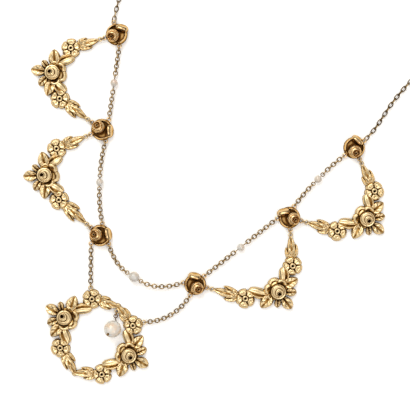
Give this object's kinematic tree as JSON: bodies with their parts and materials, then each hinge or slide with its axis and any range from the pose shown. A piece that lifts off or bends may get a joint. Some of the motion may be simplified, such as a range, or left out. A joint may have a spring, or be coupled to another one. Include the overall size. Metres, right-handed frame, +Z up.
{
  "type": "festoon necklace",
  "caption": "Gold festoon necklace laid flat: cast roses and flower garlands joined by chain swags with pearls, a flower wreath with a pearl drop at the front, and a back chain with a clasp.",
  "frame": {"origin": "on the surface that the necklace lies on, under the middle of its whole outline", "axes": "+Z up out of the surface, +Y from the wreath at the front to the clasp at the back, +X to the wearer's left as seen from above with the wreath nearest"},
  "size_m": [0.1088, 0.1998, 0.0054],
  "materials": {
    "gold": "warm yellow gold, polished on the high places and dark in the hollows",
    "pearl": "white pearl with a soft lustre"
  },
  "bodies": {
    "root": {"rose_1": "gold", "rose_2": "gold", "rose_3": "gold", "rose_4": "gold", "rose_5": "gold", "rose_6": "gold", "garland_1": "gold", "garland_2": "gold", "garland_3": "gold", "garland_4": "gold", "wreath": "gold", "swag_1": "gold", "swag_2": "gold", "swag_3": "gold", "swag_4": "gold", "swag_5": "gold", "pearl_1": "pearl", "pearl_2": "pearl", "pearl_3": "pearl", "pearl_4": "pearl", "pearl_5": "pearl", "pearl_pin_1": "gold", "pearl_pin_2": "gold", "pearl_pin_3": "gold", "pearl_pin_4": "gold", "pearl_pin_5": "gold", "hanger_1": "gold", "hanger_2": "gold", "garland_ring_1": "gold", "garland_ring_2": "gold", "garland_ring_3": "gold", "garland_ring_4": "gold", "garland_ring_5": "gold", "garland_ring_6": "gold", "garland_ring_7": "gold", "garland_ring_8": "gold", "drop_ring": "gold", "drop_pin": "gold", "drop_pearl": "pearl", "back_chain_1": "gold", "back_chain_2": "gold", "clasp": "gold"}
  },
  "joints": []
}
